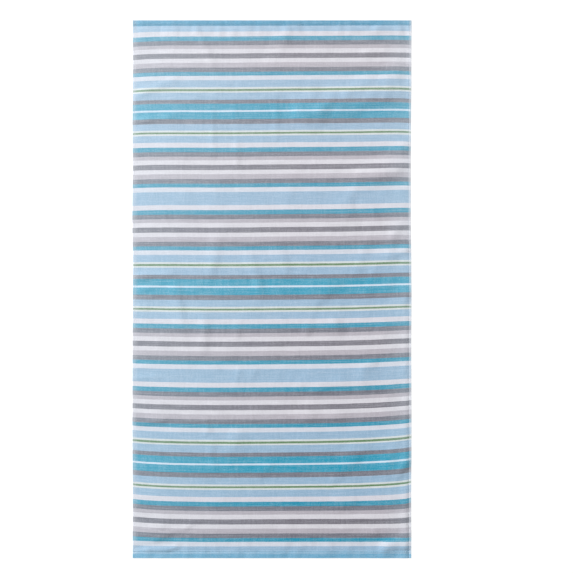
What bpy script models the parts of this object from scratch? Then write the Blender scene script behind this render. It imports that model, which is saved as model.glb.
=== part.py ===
"""A 90 x 175 cm beach towel of woven cotton, laid out flat with the soft folds it was spread with.

The cloth and its turned hems are one piece. X runs across the towel, Y along it towards the head
end, and Z is up from the surface it lies on. The origin is on that surface, under its middle.
"""

from collections import namedtuple
import math

import bmesh
import bpy

# Driving dimensions, in metres.
WIDTH = 0.9033
LENGTH = 1.744
CLOTH_THICK = 0.0028
SIDE_HEM = 0.009
HEAD_HEM = 0.016
FOOT_HEM = 0.022
SIDE_HEM_THICK = 0.0030  # the narrow side hems are pressed nearly flat
END_HEM_THICK = 0.0044  # at the end hems the cloth is turned over on itself more loosely
HEM_SLOPE = 0.0025  # the run in which a hem's top comes down to the cloth
EDGE_ROUND = 0.001  # how far in from its edge a hem reaches its full thickness
EDGE_SHARE = 0.6  # of the full thickness, right at the edge
CORNER_PULL = 0.0015  # how far each corner point is drawn in
CELL = 0.018  # the pitch of the grid between the hems

MM = 0.001

# Each soft fold is a rounded ridge from a start to an end, both in millimetres from the middle. It
# runs to the right or towards the head and has a half-width of its own on each side: "upper" is the
# one up or left of its crest, and "lower" the one down or right of it.
Fold = namedtuple("Fold", "start_x start_y end_x end_y upper lower height")
FOLDS = (
    Fold(60, 560, 520, 700, 72, 78, 7.0),
    Fold(50, 556, 250, 604, 45, 50, 1.8),
    Fold(235, 318, 475, 428, 80, 46, 5.0),
    Fold(268, 180, 248, 320, 90, 26, 2.2),
    Fold(395, 410, 452, 490, 44, 22, 3.0),
    Fold(360, 90, 425, 232, 28, 20, 2.6),
    Fold(352, 100, 470, 142, 22, 24, 2.6),
    Fold(398, -58, 475, 10, 45, 30, 3.0),
    Fold(115, -65, 235, 35, 80, 28, 2.8),
    Fold(186, -150, 222, -92, 70, 50, 3.4),
    Fold(60, -320, 370, -308, 90, 36, 3.8),
    Fold(165, -645, 325, -495, 60, 30, 1.9),
    Fold(195, -712, 285, -672, 60, 26, 2.2),
    Fold(382, -628, 472, -520, 80, 26, 5.4),
    Fold(350, -560, 440, -440, 40, 36, 2.4),
    Fold(335, -856, 484, -783, 26, 44, 5.4),
    Fold(20, 775, 56, 850, 42, 46, 3.4),
    Fold(-475, -816, -320, -803, 80, 20, 2.8),
    Fold(-158, -590, -85, -440, 42, 38, 1.4),
    Fold(-216, -10, -146, 262, 38, 30, 1.9),
    Fold(-240, -240, -200, -70, 30, 26, 1.6),
    Fold(-286, -200, -318, 80, 36, 26, 1.6),
    Fold(-28, -50, -76, 135, 34, 28, 2.2),
    Fold(52, 15, 6, 175, 36, 32, 2.2),
)

# How far the side edges stray from a straight line: inward at the left and outward at the right,
# in millimetres, at places counted in millimetres down from the head end.
Sway = namedtuple("Sway", "down left_in right_out")
SWAYS = (
    Sway(0, 0.3, 1.1),
    Sway(170, 0.6, 0.4),
    Sway(370, -0.5, -0.9),
    Sway(460, 0.5, -1.7),
    Sway(660, -1.3, -1.5),
    Sway(790, 1.3, 0.3),
    Sway(920, 0.4, 0.9),
    Sway(1050, -0.4, 0.2),
    Sway(1310, -0.8, 1.0),
    Sway(1570, 0.4, 0.0),
    Sway(1744, 0.0, 0.3),
)

COTTON_BLUE_GREY = (0.45, 0.56, 0.66, 1.0)  # the stripes' mean colour, linear


def clear_scene():
    for old in list(bpy.data.objects):
        bpy.data.objects.remove(old, do_unlink=True)


def ease(share):
    """A smooth step from 0 to 1."""
    return share * share * (3 - 2 * share)


def sway_at(down):
    """How far the left and the right edge stray to +X, in metres, this far down from the head end."""
    for above, below in zip(SWAYS, SWAYS[1:]):
        if down <= below.down * MM:
            share = ease((down / MM - above.down) / (below.down - above.down))
            left = above.left_in + share * (below.left_in - above.left_in)
            right = above.right_out + share * (below.right_out - above.right_out)
            return left * MM, right * MM
    return SWAYS[-1].left_in * MM, SWAYS[-1].right_out * MM


def fold_height(fold, x, y):
    """How far one fold lifts the cloth off the surface at (x, y), in metres."""
    run_x = (fold.end_x - fold.start_x) * MM
    run_y = (fold.end_y - fold.start_y) * MM
    from_x = x - (fold.start_x + fold.end_x) / 2 * MM
    from_y = y - (fold.start_y + fold.end_y) / 2 * MM
    length = math.hypot(run_x, run_y)
    along = (from_x * run_x + from_y * run_y) / (length * length / 2)
    aside = (from_x * run_y - from_y * run_x) / length
    aside /= (fold.lower if aside > 0 else fold.upper) * MM
    if abs(along) >= 1 or abs(aside) >= 1:
        return 0.0
    return fold.height * MM * (1 - along**4) ** 2 * (1 - aside**2) ** 2


def lift_at(x, y):
    return sum(fold_height(fold, x, y) for fold in FOLDS)


def hem_share(inward, hem):
    """1 on a hem of this width, and 0 on the cloth beside it, so far in from the edge."""
    return min(1.0, max(0.0, 1 - (inward - hem) / HEM_SLOPE))


def thickness_at(across, down):
    """The cloth's thickness, so far across from the left edge and down from the head end."""
    inward = (across, WIDTH - across, down, LENGTH - down)
    hems = (SIDE_HEM, SIDE_HEM, HEAD_HEM, FOOT_HEM)
    hem_thicks = (SIDE_HEM_THICK, SIDE_HEM_THICK, END_HEM_THICK, END_HEM_THICK)
    full = CLOTH_THICK
    for distance, hem, hem_thick in zip(inward, hems, hem_thicks):
        full = max(full, CLOTH_THICK + hem_share(distance, hem) * (hem_thick - CLOTH_THICK))
    rounded = min(1.0, max(0.0, min(inward)) / EDGE_ROUND)
    return full * (EDGE_SHARE + (1 - EDGE_SHARE) * rounded)


def grid_lines(extent, first_hem, last_hem):
    """Distances of the grid's lines: close together on the hems and CELL apart between them."""
    start = first_hem + HEM_SLOPE
    end = extent - last_hem - HEM_SLOPE
    cells = round((end - start) / CELL)
    between = [start + (end - start) * i / cells for i in range(cells + 1)]
    return [0, EDGE_ROUND, first_hem, *between, extent - last_hem, extent - EDGE_ROUND, extent]


def place(across, down):
    """The point on the cloth's underside, so far across and down."""
    left, right = sway_at(down)
    share = across / WIDTH
    x = across - WIDTH / 2 + left + share * (right - left)
    y = LENGTH / 2 - down
    if across in (0, WIDTH) and down in (0, LENGTH):
        x -= math.copysign(CORNER_PULL, x)
        y -= math.copysign(CORNER_PULL, y)
    return x, y, lift_at(x, y)


def cloth_mesh():
    """The sheet: its underside is laid out as a grid of faces and extruded up to its thickness."""
    sheet = bmesh.new()
    thickness = sheet.verts.layers.float.new("thickness")
    rows = []
    for down in grid_lines(LENGTH, HEAD_HEM, FOOT_HEM):
        row = []
        for across in grid_lines(WIDTH, SIDE_HEM, SIDE_HEM):
            point = sheet.verts.new(place(across, down))
            point[thickness] = thickness_at(across, down)
            row.append(point)
        rows.append(row)
    for upper, lower in zip(rows, rows[1:]):
        for i in range(len(upper) - 1):
            sheet.faces.new((upper[i], upper[i + 1], lower[i + 1], lower[i]))

    raised = bmesh.ops.extrude_face_region(sheet, geom=sheet.faces[:], use_keep_orig=True)
    for point in raised["geom"]:
        if isinstance(point, bmesh.types.BMVert):
            point.co.z += point[thickness]
    bmesh.ops.recalc_face_normals(sheet, faces=sheet.faces[:])
    centre_over_origin(sheet)
    return sheet


def centre_over_origin(sheet):
    """Moves the sheet across the surface so that its box is centred on the origin."""
    for axis in (0, 1):
        places = [point.co[axis] for point in sheet.verts]
        middle = (min(places) + max(places)) / 2
        for point in sheet.verts:
            point.co[axis] -= middle


def cotton():
    """Woven cotton: matt, with no metal and hardly any gloss."""
    material = bpy.data.materials.new("striped woven cotton")
    material.use_nodes = True
    shader = material.node_tree.nodes["Principled BSDF"]
    shader.inputs["Base Color"].default_value = COTTON_BLUE_GREY
    shader.inputs["Roughness"].default_value = 0.9
    shader.inputs["Metallic"].default_value = 0.0
    material.diffuse_color = COTTON_BLUE_GREY
    return material


def build_towel():
    sheet = cloth_mesh()
    mesh = bpy.data.meshes.new("towel")
    sheet.to_mesh(mesh)
    sheet.free()
    mesh.materials.append(cotton())
    mesh.shade_smooth()
    mesh.set_sharp_from_angle(angle=math.radians(35))
    towel = bpy.data.objects.new("towel", mesh)
    bpy.context.scene.collection.objects.link(towel)


clear_scene()
build_towel()
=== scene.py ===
"""The look of a 90 x 175 cm beach towel of striped cotton, laid out flat on a pale floor.

One operator makes the cloth with its turned hems, one the stitching of the hems and one the stage.
X runs across the towel, Y along it towards the head end, and Z is up from the floor. Places on the
cloth are counted across from its left edge and down from its head end. Sizes are in metres, and in
millimetres in the tables.
"""

from collections import namedtuple
import math

import bmesh
import bpy
from bpy.props import FloatProperty, FloatVectorProperty, PointerProperty
from mathutils import Matrix, Vector, noise


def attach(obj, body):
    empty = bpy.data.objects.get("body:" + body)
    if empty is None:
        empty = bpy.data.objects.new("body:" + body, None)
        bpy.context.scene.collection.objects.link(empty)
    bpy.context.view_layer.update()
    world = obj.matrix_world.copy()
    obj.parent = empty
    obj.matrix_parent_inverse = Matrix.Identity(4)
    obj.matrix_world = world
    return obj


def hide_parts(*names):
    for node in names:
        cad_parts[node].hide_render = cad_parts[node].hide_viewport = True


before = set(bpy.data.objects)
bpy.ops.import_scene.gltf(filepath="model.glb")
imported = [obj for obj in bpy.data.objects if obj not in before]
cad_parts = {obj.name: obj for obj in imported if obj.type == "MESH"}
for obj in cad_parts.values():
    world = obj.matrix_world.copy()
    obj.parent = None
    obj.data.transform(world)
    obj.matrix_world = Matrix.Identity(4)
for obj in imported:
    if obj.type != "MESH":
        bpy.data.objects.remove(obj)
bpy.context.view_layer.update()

bl_info = {
    "name": "Beach Towel",
    "version": (1, 0, 0),
    "blender": (4, 5, 0),
    "location": "View3D > Sidebar > Towel",
    "description": "Makes a striped cotton beach towel, its hem stitching and a stage",
    "category": "Object",
}

MM = 0.001

# The cloth and its hems.
CLOTH_THICK = 0.0028
EDGE_ROUND = 0.0007  # how far in from its edge a hem reaches its full thickness
CORNER_PULL = 0.0015  # how far each corner point is drawn in
STITCH_INSET = 0.0018  # from a hem's inner edge out to its row of stitches
STITCH_SHARE = 0.9  # of the pitch that one stitch's thread covers
STITCH_END = 0.3  # of a stitch's length, beyond which its ends dip into the cloth
STITCH_DIP = 0.5  # how far they do, of the thread's thickness
GROOVE = 1.8 * MM  # the half-width of the groove that a row of stitches draws in
HOLLOW_INSET = 1.2 * MM  # from a hem's inner edge to the hollow under the cloth beside it
HOLLOW = 1.4 * MM  # the half-width of that hollow
HOLLOW_DEPTH = 1 * MM

# Where the lines of the cloth's grid run on a hem.
CELL = 0.0066  # the pitch of the grid between the hems
HEM_CELL = 3.5 * MM  # and between a hem's edge and its stitches
EDGE_LINES = (0.0, 0.15, 0.5, 1.0, 2.5)  # from the edge, in lengths of EDGE_ROUND
STITCH_CLEAR = 2.0 * MM  # left clear of other lines before the stitches
STITCH_LINES = (-1.2, -0.6, 0.0, 0.6, 1.2)  # millimetres past the stitches
INNER_LINES = (0.4, 1.25, 2.0, 2.8, 5.0, 8.5, 12.5)  # millimetres past the hem's inner edge

# At a hem the cloth is turned under on itself. In millimetres: a hem's whole thickness, the run in
# which its top comes down to the cloth, at its start and its end how deep its stitches sink into
# it and how far the cloth puffs up beside it, and from its inner edge how far it is to the puff's
# crest and from there down to the flat cloth. The hems are the left, right, head and foot one.
Hem = namedtuple("Hem", "thick slope sink_start sink_end puff_start puff_end near far")
HEMS = (
    Hem(3.0, 8.0, 0.1, 0.1, 0.0, 0.0, 10, 20),
    Hem(3.0, 2.5, 0.3, 0.8, -0.9, 2.4, 10, 20),
    Hem(4.4, 2.5, 1.4, 1.1, 0.5, 1.0, 6, 22),
    Hem(4.4, 2.5, 1.8, 0.2, 0.6, 0.4, 5, 16),
)

# The ripples that the sewing draws in beside each hem: how far they reach in from it, how long
# each is along it and how high, in millimetres.
Ripple = namedtuple("Ripple", "reach length height")
SEAM_RIPPLES = (
    Ripple(22, 13, 0.3),
    Ripple(26, 16, 0.5),
    Ripple(75, 24, 1.8),
    Ripple(75, 27, 1.5),
)
RIPPLE_CHANGE = 50  # millimetres inward, over which they change their places

# The small unevenness of the cloth's top: how wide and long its dents are and how high, in
# millimetres, and a number that sets them apart.
Dent = namedtuple("Dent", "wide long height seed")
DENTS = (
    Dent(60, 75, 0.9, 0.0),
    Dent(24, 34, 0.2, 7.0),
)
WRINKLE = Dent(20, 80, 0.45, 3.0)  # slanting ones, which grow towards the right edge
WRINKLES_FULL = 800  # millimetres across, where they have grown to their height
SLANT_X, SLANT_Y = 0.87, 0.5  # the way across the slanting wrinkles

# Each soft fold is a rounded ridge from a start to an end, both in millimetres from the middle. It
# runs to the right or towards the head, so its lit side is up or left of it, and its shaded side is
# down or right of it; each side has its own half-width.
Fold = namedtuple("Fold", "start_x start_y end_x end_y lit shade height")
FOLDS = (
    Fold(60, 560, 520, 700, 72, 78, 7.0),
    Fold(50, 556, 250, 604, 45, 50, 1.8),
    Fold(235, 318, 475, 428, 80, 46, 5.0),
    Fold(268, 180, 248, 320, 90, 26, 2.2),
    Fold(395, 410, 452, 490, 44, 22, 3.0),
    Fold(360, 90, 425, 232, 28, 20, 2.6),
    Fold(352, 100, 470, 142, 22, 24, 2.6),
    Fold(398, -58, 475, 10, 45, 30, 3.0),
    Fold(115, -65, 235, 35, 80, 28, 2.8),
    Fold(186, -150, 222, -92, 70, 50, 3.4),
    Fold(60, -320, 370, -308, 90, 36, 3.8),
    Fold(165, -645, 325, -495, 60, 30, 1.9),
    Fold(195, -712, 285, -672, 60, 26, 2.2),
    Fold(382, -628, 472, -520, 80, 26, 5.4),
    Fold(350, -560, 440, -440, 40, 36, 2.4),
    Fold(335, -856, 484, -783, 26, 44, 5.4),
    Fold(20, 775, 56, 850, 42, 46, 3.4),
    Fold(-475, -816, -320, -803, 80, 20, 2.8),
    Fold(-158, -590, -85, -440, 42, 38, 1.4),
    Fold(-216, -10, -146, 262, 38, 30, 1.9),
    Fold(-240, -240, -200, -70, 30, 26, 1.6),
    Fold(-286, -200, -318, 80, 36, 26, 1.6),
    Fold(-28, -50, -76, 135, 34, 28, 2.2),
    Fold(52, 15, 6, 175, 36, 32, 2.2),
)
# The finer creases between them, too fine for the solid.
CREASES = (
    Fold(-475, 542, -303, 562, 20, 14, 3.8),
    Fold(-470, 615, -285, 690, 20, 18, 2.0),
    Fold(-475, 32, -305, 48, 22, 14, 3.2),
    Fold(-475, -3, -370, -2, 12, 12, 1.6),
    Fold(-470, -34, -365, -34, 14, 12, 1.4),
    Fold(-475, -58, -385, -62, 12, 12, 1.2),
    Fold(-470, -256, -370, -252, 10, 12, 1.1),
    Fold(-470, -292, -350, -290, 14, 12, 1.6),
    Fold(-475, -431, -335, -430, 15, 14, 3.2),
    Fold(-450, -842, -285, -838, 13, 14, 3.0),
    Fold(-395, -825, -233, -742, 14, 14, 1.8),
    Fold(-172, 690, -245, 860, 20, 18, 1.4),
    Fold(-191, 400, -193, 640, 18, 14, 0.9),
    Fold(-112, 280, -116, 640, 18, 12, 0.8),
    Fold(9, 447, 12, 660, 18, 16, 1.0),
    Fold(84, 525, 80, 645, 30, 90, 2.1),
    Fold(280, 762, 390, 775, 25, 20, 2.1),
    Fold(230, 842, 455, 846, 12, 20, 1.8),
    Fold(200, 796, 440, 800, 16, 14, 1.3),
    Fold(255, 20, 318, 200, 12, 36, 1.5),
    Fold(300, -40, 345, 90, 12, 34, 1.4),
    Fold(345, 190, 325, 285, 18, 20, 0.8),
    Fold(100, -150, 135, -108, 22, 26, 2.6),
    Fold(345, -165, 378, -105, 36, 20, 1.6),
    Fold(278, -250, 345, -248, 30, 18, 1.4),
    Fold(65, -424, 255, -420, 60, 24, 2.4),
    Fold(290, -800, 350, -785, 20, 20, 2.0),
    Fold(250, -742, 335, -740, 14, 16, 1.4),
    Fold(-124, -172, -92, -85, 28, 18, 1.5),
    Fold(-128, -312, -96, -245, 24, 16, 1.1),
    Fold(-66, -298, -44, -246, 16, 16, 1.0),
    Fold(-204, -480, -216, -400, 24, 20, 1.7),
    Fold(-168, -634, -206, -470, 20, 18, 1.2),
    Fold(-62, -625, 12, -555, 22, 20, 1.2),
    Fold(322, -844, 480, -824, 34, 18, 3.4),
)

WANDER = 9 * MM  # how far the folds stray from straight lines
WANDER_LENGTH = 70 * MM  # the length of the bends in them
WANDER_SEEDS = (1.5, 9.5)  # numbers that set the bends across apart from those along
FINER_BENDS = 2.3  # of the finer bends, half as strong, how many there are to each of those
UNEVEN = 0.6  # of a fold's height, by which it rises and falls along its crest
UNEVEN_LENGTH = 45 * MM  # how far apart those rises are

# How far the side edges stray from a straight line: inward at the left and outward at the right,
# in millimetres, at places counted in millimetres down from the head end.
Sway = namedtuple("Sway", "down left_in right_out")
SWAYS = (
    Sway(0, 0.3, 1.1),
    Sway(170, 0.6, 0.4),
    Sway(370, -0.5, -0.9),
    Sway(460, 0.5, -1.7),
    Sway(660, -1.3, -1.5),
    Sway(790, 1.3, 0.3),
    Sway(920, 0.4, 0.9),
    Sway(1050, -0.4, 0.2),
    Sway(1310, -0.8, 1.0),
    Sway(1570, 0.4, 0.0),
    Sway(1744, 0.0, 0.3),
)

# The stripes bow where the cloth is drawn out of square: how far they drop at the left edge, at the
# right edge, more at the right hem, as a whole and in the middle of the left half, in millimetres.
Bow = namedtuple("Bow", "down left right hem whole sag")
BOWS = (
    Bow(0, 1.5, 0.0, 0.0, 0.0, 0.0),
    Bow(50, 6.3, -2.4, 2.5, -0.5, 1.9),
    Bow(150, 7.8, -3.2, 3.5, -0.4, 1.9),
    Bow(250, 6.4, -4.6, 4.5, -0.9, 1.9),
    Bow(390, 3.8, -5.2, 4.1, -0.5, 1.9),
    Bow(590, 4.9, -7.8, 2.5, 0.2, 1.9),
    Bow(730, 2.6, -7.8, 3.0, 0.0, 1.9),
    Bow(925, -1.2, -10.2, 2.0, 0.5, 1.4),
    Bow(1120, -2.9, -12.4, 1.0, 0.6, 1.4),
    Bow(1315, -7.3, -14.8, -2.4, 1.5, 1.2),
    Bow(1410, -8.9, -15.6, -3.2, 1.6, 1.2),
    Bow(1510, -9.2, -11.6, -5.4, 1.6, 1.0),
    Bow(1610, -8.7, -2.4, -5.7, 1.4, 1.2),
    Bow(1660, -7.3, -0.4, -2.5, 1.2, 0.9),
    Bow(1721, -1.5, -1.5, 0.0, 0.2, 0.2),
    Bow(1744, 0.0, 0.0, 0.0, 0.0, 0.0),
)
LEFT_BOW_REACH = 78 * MM  # in which the left edge's bow dies down to a third
HEM_BOW_REACH = 30 * MM  # and the right hem's
RIGHT_BOW_START = 300 * MM  # across, where the right edge's bow begins
RIGHT_BOW_POWER = 3.5  # how sharply it grows towards that edge
SAG_MIDDLE = 270 * MM  # across
SAG_HALF_WIDTH = 290 * MM
SAG_RISE = 0.3  # of the sag, by which the stripes rise away from it

# The cloth has slackened unevenly: picks woven, counted from the head end, by millimetres down.
Slack = namedtuple("Slack", "down picks")
SLACKS = (
    Slack(0, 0),
    Slack(17.5, 17),
    Slack(35.9, 35),
    Slack(396.3, 406),
    Slack(555.0, 568),
    Slack(1129.6, 1144),
    Slack(1173.3, 1187),
    Slack(1334.3, 1349),
    Slack(1543.8, 1558),
    Slack(1705.1, 1720),
    Slack(1744.0, 1758),
)
TOTAL_PICKS = SLACKS[-1].picks

# The stripe chart, a yarn and how many picks of it are woven, with one pick to a millimetre.
NARROW_STRIPES = (
    ("white", 16),
    ("turquoise", 15),
    ("grey", 15),
    ("silver", 12),
    ("pearl", 15),
    ("stone", 17),
    ("pearl", 14),
    ("silver", 16),
    ("grey", 14),
    ("turquoise", 13),
    ("frost", 15),
)
WIDE_STRIPES = (
    ("sky", 24),
    ("mint", 6),
    ("green", 7),
    ("mint", 5),
    ("sky", 24),
    ("grey", 13),
    ("lagoon", 22),
    ("ice", 6),
    ("lagoon", 23),
    ("grey", 16),
    ("sky", 22),
    ("mint", 6),
    ("green", 6),
    ("mint", 6),
    ("sky", 23),
)
PLAIN_STRIPE = (("sky", 43),)
HEAD_ENDS = (("ocean", 17), ("mist", 18))
FOOT_ENDS = (("sky", 14), ("wave", 11), ("lake", 13))
PAINTED_SHEEN = 0.135  # painted sheen: how far the head end is mixed towards the warp's pale colour, standing in for a veil of light there
RAMP_PICKS = 255  # a colour ramp holds 256 steps, so over this many picks each step is one pick
WAVER = 0.8  # millimetres, by which the stripes' edges waver
WAVER_PATCH = (50, 20)  # how wide and long each waver is, in millimetres

# Wear towards a side edge: the share of the colour that is lost up to a start, and the end beyond
# which none is, in millimetres from that edge.
Wear = namedtuple("Wear", "start end share")
LEFT_WORN = Wear(0, 520, 0.155)
RIGHT_WORN = Wear(0, 100, 0.16)
LEFT_RUBBED = Wear(3, 19, 0.2)
RIGHT_RUBBED = Wear(5.7, 6.9, 0.34)

# The weave's unevenness, in soft patches so many millimetres wide and long, by how much they let
# the pale warp show and how much they lighten the cloth. A thread of this cloth is a third of a
# millimetre thick, so its ribs are drawn as coarse as they have to be to show: warp streaks about
# 9 mm wide, picks 7 mm apart and a grain of 4 mm.
Patch = namedtuple("Patch", "wide long detail warp shade")
STREAKS = Patch(9, 40, 1.5, 0.12, 0.05)
SLUBS = Patch(70, 3.4, 1.0, 0.18, 0.08)
LINES = Patch(500, 3.6, 1.0, 0.17, 0.0)
SPECKS = Patch(3.8, 3.8, 0.0, 0.14, 0.09)
BLOTCHES = Patch(45, 30, 2.0, 0.0, 0.05)
WARP_BASE = -0.255  # the share of warp that shows where no patch adds any
SHADE_BASE = 0.865  # of the yarns' own lightness, where no patch adds any
THREAD = 1.1  # the width in millimetres of the threads that are drawn for a closer look
THREAD_LENGTH = 28  # millimetres, over which such a thread keeps its thickness
THREAD_SHADES = (0.95, 1.05)
RIB_HEIGHT = 0.12 * MM
TWIST_SCALE = 900  # draws the ribs of the sewing thread's twist 0.7 mm apart
TWIST_HEIGHT = 0.1 * MM

# The stage.
FLOOR_SIZE = 40
FLOOR_DROP = 0.0002  # how far the floor lies below the cloth's underside
FLOOR_GLOW = 0.93
CAMERA_PLACE = (0.0474, 0.0089)  # above this spot of the floor, a little off the towel's middle

# The soft lights, the setting that holds each one's power, its place, aim, length and width.
Lamp = namedtuple("Lamp", "name power place aim size")
LAMPS = (
    Lamp("key_light", "key_power", (-5.85, 2.88, 3.80), (0, -2.7, 0), (2.2, 2.2)),
    Lamp("left_strip", "left_power", (-0.72, -0.25, 0.22), (-0.4, -0.25, 0), (2.6, 0.15)),
    Lamp("right_strip", "right_power", (0.62, -0.25, 0.1), (0.42, -0.25, 0), (2.6, 0.1)),
)


def linear(hex_colour):
    """The linear colour, with alpha, of an sRGB one such as #8FA0B1."""
    shades = [int(hex_colour[i : i + 2], 16) / 255 for i in (1, 3, 5)]
    return [s / 12.92 if s <= 0.04045 else ((s + 0.055) / 1.055) ** 2.4 for s in shades] + [1.0]


def colour_choice(name, description, hex_colour):
    """A colour that a user can change."""
    return FloatVectorProperty(
        name=name,
        description=description,
        subtype="COLOR",
        size=4,
        min=0,
        max=1,
        default=linear(hex_colour),
    )


def number_choice(name, description, default, unit="NONE"):
    """A number that a user can change."""
    return FloatProperty(name=name, description=description, default=default, min=0, unit=unit)


def length_choice(name, description, default):
    """A length that a user can change."""
    return number_choice(name, description, default, "LENGTH")


class TowelSizes(bpy.types.PropertyGroup):
    """The towel's sizes."""

    width: length_choice("Width", "From side edge to side edge", 0.9033)
    length: length_choice("Length", "From the head end to the foot end", 1.744)
    side_hem: length_choice("Side hem", "Width of the hems along the sides", 0.009)
    head_hem: length_choice("Head hem", "Width of the hem at the head end", 0.016)
    foot_hem: length_choice("Foot hem", "Width of the hem at the foot end", 0.022)
    stitch_pitch: length_choice("Stitch pitch", "From one stitch of a hem to the next", 0.0035)
    thread_thick: length_choice("Thread", "Thickness of the sewing thread", 0.0007)


class TowelColours(bpy.types.PropertyGroup):
    """The colours of the yarns."""

    white: colour_choice("White", "Cool white yarn", "#CDCDD6")
    pearl: colour_choice("Pearl", "Warmer white yarn between the greys", "#D0CED5")
    frost: colour_choice("Frost", "Bluish white yarn beside the turquoise", "#C9CED9")
    ice: colour_choice("Ice", "Icy white yarn of the thin lines in the turquoise", "#C3D4E3")
    mint: colour_choice("Mint", "Greenish white yarn beside the green lines", "#CAD1D2")
    turquoise: colour_choice("Turquoise", "Turquoise yarn of the narrow stripes", "#198DAB")
    lagoon: colour_choice("Lagoon", "Purer turquoise yarn of the wide stripes", "#0091B0")
    grey: colour_choice("Grey", "Mid grey yarn", "#6B6D79")
    stone: colour_choice("Stone", "Warmer grey yarn between the whites", "#726F79")
    silver: colour_choice("Silver", "Pale grey yarn", "#ADA8B1")
    sky: colour_choice("Sky", "Pale blue yarn", "#8DADC7")
    mist: colour_choice("Mist", "Lighter pale blue yarn at the head hem's seam", "#94B4CE")
    wave: colour_choice("Wave", "Light blue yarn at the foot hem's seam", "#81ABC6")
    ocean: colour_choice("Ocean", "Mid blue yarn of the head hem", "#629BB9")
    lake: colour_choice("Lake", "Lighter blue yarn of the foot hem", "#66A3C4")
    green: colour_choice("Green", "Leaf green yarn of the thin lines", "#587D53")
    worn: colour_choice("Worn", "What the sun and wear leave of the stripes' colours", "#A1B9C3")
    warp: colour_choice("Warp", "Pale yarn along the cloth, which shows through", "#DEE0E6")
    thread: colour_choice("Thread", "Sewing thread of the hems", "#B4BFCA")


class TowelStage(bpy.types.PropertyGroup):
    """The floor, the lights and the camera."""

    key_power: number_choice("Key light", "Power of the main light", 840, "POWER")
    left_power: number_choice("Left strip", "Power of the light at the left edge", 1.0, "POWER")
    right_power: number_choice("Right strip", "Power of the light at the right edge", 1.1, "POWER")
    world_light: number_choice("World light", "Strength of the even light all round", 0.39)
    floor: colour_choice("Floor", "The acrylic of the floor, under its own glow", "#696969")
    lens: number_choice("Lens", "Focal length of the camera", 85, "CAMERA")
    height: length_choice("Camera height", "From the floor up to the camera", 4.39)


# Shape of the cloth


def ease(share):
    """A smooth step from 0 to 1."""
    return share * share * (3 - 2 * share)


def bump(share):
    """1 at 0, easing to 0 at 1 and beyond."""
    return 1 - ease(min(1.0, abs(share)))


def read_off(table, down, smooth=False):
    """The row of a table that holds this far down, worked out between the two nearest."""
    place = min(max(down / MM, table[0].down), table[-1].down)
    for above, below in zip(table, table[1:]):
        if place <= below.down:
            break
    share = (place - above.down) / (below.down - above.down)
    share = ease(share) if smooth else share
    return type(above)(*(a + share * (b - a) for a, b in zip(above, below)))


def wander(x, y):
    """Where (x, y) is looked up in the table of folds, so that none of them runs dead straight."""
    shifts = []
    for seed in WANDER_SEEDS:
        place = Vector((x / WANDER_LENGTH, y / WANDER_LENGTH, seed))
        shifts.append(noise.noise(place) + 0.5 * noise.noise(place * FINER_BENDS))
    return x + shifts[0] * WANDER, y + shifts[1] * WANDER


def fold_height(fold, x, y):
    """How far one fold lifts the cloth off the floor at (x, y)."""
    run_x = (fold.end_x - fold.start_x) * MM
    run_y = (fold.end_y - fold.start_y) * MM
    from_x = x - (fold.start_x + fold.end_x) / 2 * MM
    from_y = y - (fold.start_y + fold.end_y) / 2 * MM
    length = math.hypot(run_x, run_y)
    along = (from_x * run_x + from_y * run_y) / (length * length / 2)
    aside = (from_x * run_y - from_y * run_x) / length
    aside /= (fold.shade if aside > 0 else fold.lit) * MM
    if abs(along) >= 1 or abs(aside) >= 1:
        return 0.0
    return fold.height * MM * (1 - along**4) ** 2 * (1 - aside**2) ** 2


def bow_at(across, down, width):
    """How far the stripes drop below their place here."""
    bow = read_off(BOWS, down)
    left = bow.left * math.exp(-across / LEFT_BOW_REACH)
    past_start = max(0.0, (across - RIGHT_BOW_START) / (width - RIGHT_BOW_START))
    right = bow.right * past_start**RIGHT_BOW_POWER
    hem = bow.hem * math.exp((across - width) / HEM_BOW_REACH)
    sag = bow.sag * (bump((across - SAG_MIDDLE) / SAG_HALF_WIDTH) - SAG_RISE)
    return (left + right + hem + bow.whole + sag) * MM


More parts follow.
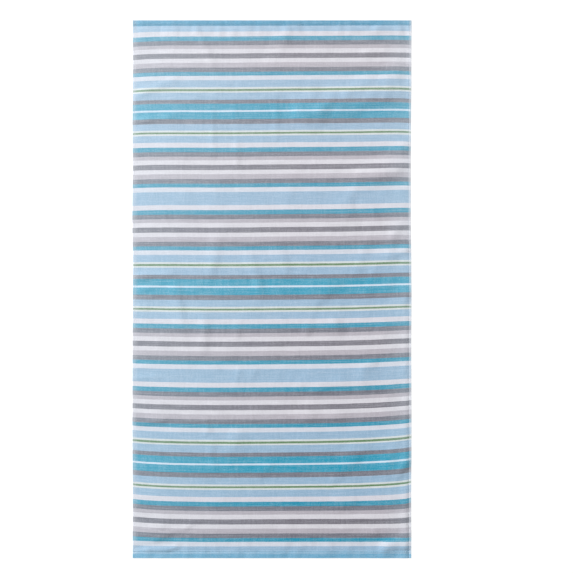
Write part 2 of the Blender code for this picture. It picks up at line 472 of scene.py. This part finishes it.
class Cloth:
    """The towel's shape, worked out from its sizes."""

    def __init__(self, sizes):
        self.width = sizes.width
        self.length = sizes.length
        self.hems = (sizes.side_hem, sizes.side_hem, sizes.head_hem, sizes.foot_hem)

    def inward(self, across, down):
        """How far it is in from the left, right, head and foot edge."""
        return across, self.width - across, down, self.length - down

    def point(self, across, down, height):
        """The place of a point so far across and down the cloth, and so high in it."""
        sway = read_off(SWAYS, down, smooth=True)
        share = across / self.width
        x = across - self.width / 2 + (sway.left_in + share * (sway.right_out - sway.left_in)) * MM
        y = self.length / 2 - down
        if across in (0, self.width) and down in (0, self.length):
            x -= math.copysign(CORNER_PULL, x)
            y -= math.copysign(CORNER_PULL, y)
        strays = wander(x, y)
        lift = sum(fold_height(fold, *strays) for fold in FOLDS + CREASES)
        uneven = 1 + UNEVEN * noise.noise(Vector((x, y, 0.5)) / UNEVEN_LENGTH)
        return Vector((x, y, lift * uneven + height))

    def layer(self, across, down):
        """The heights of the cloth's underside and top within it, before the folds lift it."""
        inward = self.inward(across, down)
        top = CLOTH_THICK
        sink = 0.0
        puff = 0.0
        under = 0.0
        shares = (down / self.length,) * 2 + (across / self.width,) * 2
        for distance, width, hem, share in zip(inward, self.hems, HEMS, shares):
            doubled = 1 - ease(min(1.0, max(0.0, (distance - width) / (hem.slope * MM))))
            top = max(top, CLOTH_THICK + doubled * (hem.thick * MM - CLOTH_THICK))
            seam = bump((distance - width + STITCH_INSET) / GROOVE)
            sink = max(sink, seam * (hem.sink_start + share * (hem.sink_end - hem.sink_start)))
            past_crest = (distance - width) / MM - hem.near
            if past_crest > 0:
                crest = bump(past_crest / hem.far)
            else:
                crest = max(0.0, 1 - (past_crest / hem.near) ** 2)
            puff += crest * (hem.puff_start + share * (hem.puff_end - hem.puff_start))
            under = max(under, HOLLOW_DEPTH * bump((distance - width - HOLLOW_INSET) / HOLLOW))
        top += (puff - sink) * MM
        half = (top - under) / 2
        reach = min(1.0, max(0.0, min(inward)) / EDGE_ROUND)
        round_share = math.sqrt(1 - (1 - reach) ** 2)
        return under + half * (1 - round_share), top - half * (1 - round_share)

    def pucker(self, across, down):
        """The small unevenness of the top: soft dents, slanting wrinkles, and the ripples that
        sewing draws in beside the hems."""
        x = across / MM
        y = down / MM
        uneven = 0.0
        for dent in DENTS:
            place = Vector((x / dent.wide, y / dent.long, dent.seed))
            uneven += dent.height * noise.noise(place)
        across_slant = (SLANT_X * x + SLANT_Y * y) / WRINKLE.wide
        along_slant = (SLANT_Y * x - SLANT_X * y) / WRINKLE.long
        slanting = noise.noise(Vector((across_slant, along_slant, WRINKLE.seed)))
        uneven += WRINKLE.height * slanting * ease(min(1.0, x / WRINKLES_FULL))
        for distance, width, along, ripple in zip(
            self.inward(across, down), self.hems, (y, y, x, x), SEAM_RIPPLES
        ):
            near = bump((distance - width) / (ripple.reach * MM))
            place = Vector((along / ripple.length, distance / MM / RIPPLE_CHANGE, width / MM))
            uneven += near * ripple.height * noise.noise(place)
        return uneven * MM

    def hem_lines(self, hem):
        """Distances from an edge of the grid's lines on its hem, close together at the stitches."""
        stitches = hem - STITCH_INSET
        lines = [share * EDGE_ROUND for share in EDGE_LINES]
        plain = stitches - STITCH_CLEAR - lines[-1]
        steps = max(1, round(plain / HEM_CELL))
        lines += [lines[-1] + plain * (i + 1) / steps for i in range(steps)]
        lines += [stitches + step * MM for step in STITCH_LINES]
        lines += [hem + step * MM for step in INNER_LINES]
        return lines

    def grid_lines(self, extent, first_hem, last_hem):
        """Distances of the grid's lines from one edge to the other."""
        first = self.hem_lines(first_hem)
        last = [extent - line for line in reversed(self.hem_lines(last_hem))]
        cells = round((last[0] - first[-1]) / CELL)
        step = (last[0] - first[-1]) / cells
        return first + [first[-1] + step * i for i in range(1, cells)] + last

    def columns(self):
        return self.grid_lines(self.width, self.hems[0], self.hems[1])

    def rows(self):
        return self.grid_lines(self.length, self.hems[2], self.hems[3])

    def woven(self, across, down):
        """The place in the weave: metres across, and metres of picks from the head end."""
        return across, read_off(SLACKS, down - bow_at(across, down, self.width)).picks * MM


def cloth_mesh(cloth):
    """The sheet: a grid for its top and one for its underside, which meet along the edges."""
    sheet = bmesh.new()
    weave = sheet.loops.layers.uv.new("weave")
    places = {}
    columns = cloth.columns()
    rows = cloth.rows()
    grids = {"top": [], "underside": []}
    for down in rows:
        for grid in grids.values():
            grid.append([])
        for across in columns:
            under, top = cloth.layer(across, down)
            top += cloth.pucker(across, down) * min(1.0, (top - under) / CLOTH_THICK)
            base = cloth.point(across, down, 0)
            upper = sheet.verts.new(base + Vector((0, 0, top)))
            places[upper] = cloth.woven(across, down)
            lower = upper
            if 0 < across < cloth.width and 0 < down < cloth.length:
                lower = sheet.verts.new(base + Vector((0, 0, under)))
                places[lower] = places[upper]
            grids["top"][-1].append(upper)
            grids["underside"][-1].append(lower)
    for name, grid in grids.items():
        for head, foot in zip(grid, grid[1:]):
            for i in range(len(columns) - 1):
                corners = (head[i], foot[i], foot[i + 1], head[i + 1])
                sheet.faces.new(corners if name == "top" else corners[::-1])
    for face in sheet.faces:
        for loop in face.loops:
            loop[weave].uv = places[loop.vert]
    return sheet


def centre_shift(cloth):
    """How far the cloth moves across the floor so that its box is centred on the origin."""
    rim = [cloth.point(across, down, 0) for down in cloth.rows() for across in (0, cloth.width)]
    middle = [(min(p[i] for p in rim) + max(p[i] for p in rim)) / 2 for i in (0, 1)]
    return Matrix.Translation((-middle[0], -middle[1], 0))


# Materials


def add(tree, kind, inputs=(), output=0, **settings):
    """Adds a node with its settings, gives its inputs values or links, and returns an output."""
    node = tree.nodes.new("ShaderNode" + kind)
    for name, value in settings.items():
        setattr(node, name, value)
    for name, value in dict(inputs).items():
        if isinstance(value, bpy.types.NodeSocket):
            tree.links.new(value, node.inputs[name])
        else:
            node.inputs[name].default_value = value
    return node.outputs[output] if node.outputs else None


MIX_A, MIX_B, MIX_COLOUR = 6, 7, 2  # the colour sockets of a Mix node


def chart_colour(tree, pick, chart, yarns):
    """The yarn colour of a pick, counted from the start of a chart."""
    share = add(tree, "Math", {0: pick, 1: RAMP_PICKS}, operation="DIVIDE")
    colour = add(tree, "ValToRGB", {0: share})
    ramp = colour.node.color_ramp
    ramp.interpolation = "CONSTANT"
    ramp.elements.remove(ramp.elements[0])
    start = 0
    for yarn, picks in chart:
        stop = ramp.elements.new(max(0.0, (start - 0.5) / RAMP_PICKS))
        stop.color = getattr(yarns, yarn)
        start += picks
    ramp.elements.remove(ramp.elements[-1])
    return colour


def picks_in(*charts):
    """How many picks are woven in all of these charts."""
    return sum(picks for chart in charts for yarn, picks in chart)


def mottle(tree, place, wide, long, detail=1.0):
    """Soft patches of 0 to 1 on the cloth, so many millimetres wide across it and long down it."""
    share = (1 / wide, 1 / long, 1)
    spread = add(tree, "VectorMath", {0: place, 1: share}, operation="MULTIPLY")
    inputs = {"Vector": spread, "Scale": 1, "Detail": detail}
    return add(tree, "TexNoise", inputs, noise_dimensions="2D")


def stripes(tree, pick, yarns):
    """The yarn colour of a pick counted from the head end. Narrow, wide, narrow and plain groups
    repeat between the two ends' own stripes."""
    head = picks_in(HEAD_ENDS)
    first_pair = picks_in(NARROW_STRIPES, WIDE_STRIPES)
    repeat = first_pair + picks_in(NARROW_STRIPES, PLAIN_STRIPE)
    from_head = add(tree, "Math", {0: pick, 1: head}, operation="SUBTRACT")
    in_repeat = add(tree, "Math", {0: from_head, 1: repeat}, operation="FLOORED_MODULO")
    second = add(tree, "Math", {0: in_repeat, 1: first_pair}, operation="GREATER_THAN")
    back = add(tree, "Math", {0: second, 1: -first_pair, 2: in_repeat}, operation="MULTIPLY_ADD")
    narrow = chart_colour(tree, back, NARROW_STRIPES + PLAIN_STRIPE, yarns)
    from_wide = add(tree, "Math", {0: back, 1: picks_in(NARROW_STRIPES)}, operation="SUBTRACT")
    wide = chart_colour(tree, from_wide, WIDE_STRIPES, yarns)
    past_narrow = add(tree, "Math", {0: from_wide, 1: 0}, operation="GREATER_THAN")
    is_first = add(tree, "Math", {0: 1, 1: second}, operation="SUBTRACT")
    is_wide = add(tree, "Math", {0: past_narrow, 1: is_first}, operation="MULTIPLY")
    colours = {0: is_wide, MIX_A: narrow, MIX_B: wide}
    colour = add(tree, "Mix", colours, MIX_COLOUR, data_type="RGBA")

    head_colour = chart_colour(tree, pick, HEAD_ENDS, yarns)
    in_head = add(tree, "Math", {0: pick, 1: head}, operation="LESS_THAN")
    colours = {0: in_head, MIX_A: colour, MIX_B: head_colour}
    colour = add(tree, "Mix", colours, MIX_COLOUR, data_type="RGBA")

    foot = TOTAL_PICKS - picks_in(FOOT_ENDS)
    from_foot = add(tree, "Math", {0: pick, 1: foot}, operation="SUBTRACT")
    foot_colour = chart_colour(tree, from_foot, FOOT_ENDS, yarns)
    in_foot = add(tree, "Math", {0: from_foot, 1: 0}, operation="GREATER_THAN")
    colours = {0: in_foot, MIX_A: colour, MIX_B: foot_colour}
    return add(tree, "Mix", colours, MIX_COLOUR, data_type="RGBA")


def sheen_and_wear_colour(tree, colour, pick, across, cloth, yarns):
    """The stripes' colour with a painted sheen towards the head end, and as wear and rubbing have
    left it.
    """
    # Painted sheen: down from the hem at the head end, the colour is mixed towards the pale warp,
    # more the nearer the head end, standing in for a veil of light there.
    painted_sheen = add(tree, "MapRange", {"Value": pick, 1: 0, 2: TOTAL_PICKS, 3: PAINTED_SHEEN, 4: 0})
    past_hem = add(tree, "Math", {0: pick, 1: HEAD_ENDS[0][1]}, operation="GREATER_THAN")
    painted_sheen = add(tree, "Math", {0: painted_sheen, 1: past_hem}, operation="MULTIPLY")
    colours = {0: painted_sheen, MIX_A: colour, MIX_B: yarns.warp}
    colour = add(tree, "Mix", colours, MIX_COLOUR, data_type="RGBA")

    from_right = add(tree, "Math", {0: cloth.width / MM, 1: across}, operation="SUBTRACT")
    left_worn, right_worn, left_rubbed, right_rubbed = (
        add(tree, "MapRange", {"Value": distance, 1: wear.start, 2: wear.end, 3: wear.share, 4: 0})
        for distance, wear in (
            (across, LEFT_WORN),
            (from_right, RIGHT_WORN),
            (across, LEFT_RUBBED),
            (from_right, RIGHT_RUBBED),
        )
    )

    # Towards both side edges the colours are worn closer together.
    worn = add(tree, "Math", {0: left_worn, 1: right_worn}, operation="ADD")
    colours = {0: worn, MIX_A: colour, MIX_B: yarns.worn}
    colour = add(tree, "Mix", colours, MIX_COLOUR, data_type="RGBA")

    # The folded side edges have rubbed paler, softly at the left and out to the stitches at the
    # right, as far as the foot hem, which is turned over them.
    rubbed = add(tree, "Math", {0: left_rubbed, 1: right_rubbed}, operation="ADD")
    foot_hem = TOTAL_PICKS - FOOT_ENDS[-1][1]
    before_hem = add(tree, "Math", {0: pick, 1: foot_hem}, operation="LESS_THAN")
    rubbed = add(tree, "Math", {0: rubbed, 1: before_hem}, operation="MULTIPLY")
    colours = {0: rubbed, MIX_A: colour, MIX_B: yarns.warp}
    return add(tree, "Mix", colours, MIX_COLOUR, data_type="RGBA")


def striped_cotton(yarns, cloth):
    """Yarn-dyed plain-weave cotton: matt and slightly fuzzy, with crisp stripes along the weft,
    faint streaks where the warp is uneven and paler edges where the folded hems have rubbed."""
    material = bpy.data.materials.new("yarn-dyed plain-weave cotton")
    material.use_nodes = True
    tree = material.node_tree
    tree.nodes.clear()

    weave = add(tree, "UVMap", uv_map="weave")
    place = add(tree, "VectorMath", {0: weave, 3: 1 / MM}, operation="SCALE")
    across = add(tree, "SeparateXYZ", {0: place}, output="X")
    pick = add(tree, "SeparateXYZ", {0: place}, output="Y")

    # The weft lies a little unevenly, so the stripes' edges waver by part of a millimetre.
    waver = mottle(tree, place, *WAVER_PATCH)
    pick = add(tree, "Math", {0: waver, 1: WAVER, 2: pick}, operation="MULTIPLY_ADD")
    pick = add(tree, "Math", {0: pick, 1: WAVER / 2}, operation="SUBTRACT")
    colour = stripes(tree, pick, yarns)
    # This adds the painted sheen towards the head end as well as the wear at the sides.
    colour = sheen_and_wear_colour(tree, colour, pick, across, cloth, yarns)

    # Where the warp lies thick its pale yarn shows through, most of all in the dark stripes.
    shows = WARP_BASE
    shade = SHADE_BASE
    patches = {}
    for patch in (STREAKS, SLUBS, LINES, SPECKS, BLOTCHES):
        soft = mottle(tree, place, patch.wide, patch.long, patch.detail)
        patches[patch] = soft
        if patch.warp:
            shows = add(tree, "Math", {0: soft, 1: patch.warp, 2: shows}, operation="MULTIPLY_ADD")
        if patch.shade:
            shade = add(tree, "Math", {0: soft, 1: patch.shade, 2: shade}, operation="MULTIPLY_ADD")
    colours = {0: shows, MIX_A: colour, MIX_B: yarns.warp}
    colour = add(tree, "Mix", colours, MIX_COLOUR, data_type="RGBA")
    colour = add(tree, "VectorMath", {0: colour, 3: shade}, operation="SCALE")

    # Close up, uneven threads cross over and under each other.
    warp_threads = mottle(tree, place, THREAD, THREAD_LENGTH)
    weft_threads = mottle(tree, place, THREAD_LENGTH, THREAD)
    threads = add(tree, "Math", {0: warp_threads, 1: weft_threads}, operation="ADD")
    dark, light = THREAD_SHADES
    thread_shade = add(tree, "MapRange", {"Value": threads, 1: 0.6, 2: 1.4, 3: dark, 4: light})
    colour = add(tree, "VectorMath", {0: colour, 3: thread_shade}, operation="SCALE")

    relief = add(tree, "Math", {0: patches[STREAKS], 1: patches[SLUBS]}, operation="ADD")
    ribs = add(tree, "Bump", {"Height": relief, "Distance": RIB_HEIGHT}, output="Normal")
    fuzz_inputs = {"Height": threads, "Distance": RIB_HEIGHT, "Normal": ribs}
    fuzz = add(tree, "Bump", fuzz_inputs, output="Normal")
    rough = add(tree, "MapRange", {"Value": patches[SLUBS], 3: 0.84, 4: 0.96})
    shader = add(
        tree,
        "BsdfPrincipled",
        {
            "Base Color": colour,
            "Roughness": rough,
            "Normal": fuzz,
            "IOR": 1.5,
            "Specular IOR Level": 0.3,
            "Sheen Weight": 0.12,
            "Sheen Roughness": 0.5,
        },
    )
    add(tree, "OutputMaterial", {"Surface": shader})
    return material


def sewing_thread(yarns):
    """Spun polyester sewing thread: a slight gloss, with the twist as fine slanting ribs."""
    material = bpy.data.materials.new("spun polyester sewing thread")
    material.use_nodes = True
    tree = material.node_tree
    tree.nodes.clear()
    place = add(tree, "TexCoord", output="Object")
    twist_inputs = {"Vector": place, "Scale": TWIST_SCALE, "Distortion": 1.5}
    twist = add(tree, "TexWave", twist_inputs, bands_direction="DIAGONAL")
    shade = add(tree, "Math", {0: twist, 1: 0.2, 2: 0.9}, operation="MULTIPLY_ADD")
    colour = add(tree, "VectorMath", {0: yarns.thread[:3], 3: shade}, operation="SCALE")
    ribs = add(tree, "Bump", {"Height": twist, "Distance": TWIST_HEIGHT}, output="Normal")
    inputs = {"Base Color": colour, "Roughness": 0.55, "Normal": ribs}
    shader = add(tree, "BsdfPrincipled", inputs)
    add(tree, "OutputMaterial", {"Surface": shader})
    return material


def studio_floor(colour):
    """Frosted white acrylic lit from below, which leaves hardly a shadow beside the towel."""
    material = bpy.data.materials.new("backlit frosted acrylic")
    material.use_nodes = True
    shader = material.node_tree.nodes["Principled BSDF"]
    shader.inputs["Base Color"].default_value = colour
    shader.inputs["Roughness"].default_value = 1.0
    shader.inputs["Specular IOR Level"].default_value = 0.0
    shader.inputs["Emission Color"].default_value = (1, 1, 1, 1)
    shader.inputs["Emission Strength"].default_value = FLOOR_GLOW
    return material


# Operators


class TOWEL_OT_cloth(bpy.types.Operator):
    """Make the striped cloth with its turned hems"""

    bl_idname = "towel.cloth"
    bl_label = "Cloth"

    def execute(self, context):
        cloth = Cloth(context.scene.towel_sizes)
        sheet = cloth_mesh(cloth)
        sheet.transform(centre_shift(cloth))
        mesh = bpy.data.meshes.new("towel_cloth")
        sheet.to_mesh(mesh)
        sheet.free()
        mesh.shade_smooth()
        mesh.materials.append(striped_cotton(context.scene.towel_colours, cloth))
        towel = bpy.data.objects.new("towel_cloth", mesh)
        context.scene.collection.objects.link(towel)
        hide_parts("towel")
        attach(towel, "root")
        return {"FINISHED"}


class TOWEL_OT_stitching(bpy.types.Operator):
    """Sew the rows of stitches along the four hems"""

    bl_idname = "towel.stitching"
    bl_label = "Hem stitching"

    def execute(self, context):
        sizes = context.scene.towel_sizes
        cloth = Cloth(sizes)
        stitch = self.stitch(sizes)
        rows = bmesh.new()
        for place in self.places(sizes, cloth):
            stitch_copy = stitch.data.copy()
            stitch_copy.transform(place)
            rows.from_mesh(stitch_copy)
            bpy.data.meshes.remove(stitch_copy)
        rows.transform(centre_shift(cloth))
        mesh = bpy.data.meshes.new("hem_stitching")
        rows.to_mesh(mesh)
        rows.free()
        bpy.data.objects.remove(stitch)
        mesh.shade_smooth()
        mesh.materials.append(sewing_thread(context.scene.towel_colours))
        stitching = bpy.data.objects.new("hem_stitching", mesh)
        context.scene.collection.objects.link(stitching)
        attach(stitching, "root")
        return {"FINISHED"}

    def stitch(self, sizes):
        """One stitch along Y: a short length of thread whose ends dip into the cloth."""
        length = sizes.stitch_pitch * STITCH_SHARE
        bpy.ops.object.select_all(action="DESELECT")
        bpy.ops.mesh.primitive_uv_sphere_add(segments=8, ring_count=5, radius=0.5)
        stitch = bpy.context.object
        bpy.ops.transform.resize(value=(sizes.thread_thick, length, sizes.thread_thick))
        bpy.ops.object.transform_apply(location=True, rotation=True, scale=True)
        bpy.ops.object.mode_set(mode="EDIT")
        bpy.ops.mesh.select_all(action="DESELECT")
        points = bmesh.from_edit_mesh(stitch.data)
        for point in points.verts:
            point.select_set(abs(point.co.y) > STITCH_END * length)
        points.select_flush_mode()
        bmesh.update_edit_mesh(stitch.data)
        bpy.ops.transform.translate(value=(0, 0, -STITCH_DIP * sizes.thread_thick))
        bpy.ops.object.mode_set(mode="OBJECT")
        return stitch

    def places(self, sizes, cloth):
        """Where each stitch of the four rows goes, with its length turned along the row."""
        side, _, head, foot = (hem - STITCH_INSET for hem in cloth.hems)
        down_rows = (side, cloth.width - side)
        across_rows = (head, cloth.length - foot)
        pitch = sizes.stitch_pitch
        for across in down_rows:
            for i in range(1, int(cloth.length / pitch) - 1):
                yield self.place(cloth, across, (i + 0.5) * pitch, 0)
        for down in across_rows:
            for i in range(1, int(cloth.width / pitch) - 1):
                yield self.place(cloth, (i + 0.5) * pitch, down, math.radians(90))

    def place(self, cloth, across, down, turn):
        """Sets a stitch on the cloth's top, turned by an angle."""
        top = cloth.layer(across, down)[1]
        top += cloth.pucker(across, down)
        return Matrix.Translation(cloth.point(across, down, top)) @ Matrix.Rotation(turn, 4, "Z")


class TOWEL_OT_stage(bpy.types.Operator):
    """Lay the floor, and set up the lights and the camera above it"""

    bl_idname = "towel.stage"
    bl_label = "Stage"

    def execute(self, context):
        stage = context.scene.towel_stage
        bpy.ops.object.select_all(action="DESELECT")
        bpy.ops.mesh.primitive_plane_add(size=FLOOR_SIZE, location=(0, 0, -FLOOR_DROP))
        floor = context.object
        floor.name = "studio_floor"
        bpy.ops.object.transform_apply(location=True, rotation=True, scale=True)
        floor.data.materials.append(studio_floor(stage.floor))

        world = bpy.data.worlds.new("studio")
        world.use_nodes = True
        background = world.node_tree.nodes["Background"]
        background.inputs["Color"].default_value = (1, 1, 1, 1)
        background.inputs["Strength"].default_value = stage.world_light
        context.scene.world = world

        for lamp in LAMPS:
            self.soft_light(lamp, getattr(stage, lamp.power))

        camera = bpy.data.cameras.new("overhead_camera")
        camera.lens = stage.lens
        overhead = bpy.data.objects.new("overhead_camera", camera)
        overhead.location = (*CAMERA_PLACE, stage.height)
        context.scene.collection.objects.link(overhead)
        context.scene.camera = overhead
        context.scene.view_settings.view_transform = "Standard"
        return {"FINISHED"}

    def soft_light(self, lamp, power):
        """Hangs a soft light up, aimed, out of the camera's sight."""
        light = bpy.data.lights.new(lamp.name, "AREA")
        light.shape = "RECTANGLE"
        light.size, light.size_y = lamp.size
        light.energy = power
        holder = bpy.data.objects.new(lamp.name, light)
        holder.location = lamp.place
        beam = Vector(lamp.aim) - Vector(lamp.place)
        holder.rotation_euler = beam.to_track_quat("-Z", "Y").to_euler()
        holder.visible_camera = False
        bpy.context.scene.collection.objects.link(holder)


class TOWEL_PT_panel(bpy.types.Panel):
    """Lists the towel's pieces, sizes and colours"""

    bl_label = "Beach Towel"
    bl_space_type = "VIEW_3D"
    bl_region_type = "UI"
    bl_category = "Towel"

    def draw(self, context):
        for operator in (TOWEL_OT_cloth, TOWEL_OT_stitching, TOWEL_OT_stage):
            self.layout.operator(operator.bl_idname)
        scene = context.scene
        for group in (scene.towel_sizes, scene.towel_colours, scene.towel_stage):
            box = self.layout.box()
            for name in group.__annotations__:
                box.prop(group, name)


CLASSES = (
    TowelSizes,
    TowelColours,
    TowelStage,
    TOWEL_OT_cloth,
    TOWEL_OT_stitching,
    TOWEL_OT_stage,
    TOWEL_PT_panel,
)


def register():
    for cls in CLASSES:
        bpy.utils.register_class(cls)
    bpy.types.Scene.towel_sizes = PointerProperty(type=TowelSizes)
    bpy.types.Scene.towel_colours = PointerProperty(type=TowelColours)
    bpy.types.Scene.towel_stage = PointerProperty(type=TowelStage)


def unregister():
    del bpy.types.Scene.towel_stage
    del bpy.types.Scene.towel_colours
    del bpy.types.Scene.towel_sizes
    for cls in reversed(CLASSES):
        bpy.utils.unregister_class(cls)


def main():
    register()
    bpy.ops.towel.cloth()
    bpy.ops.towel.stitching()
    bpy.ops.towel.stage()


if __name__ == "__main__":
    main()
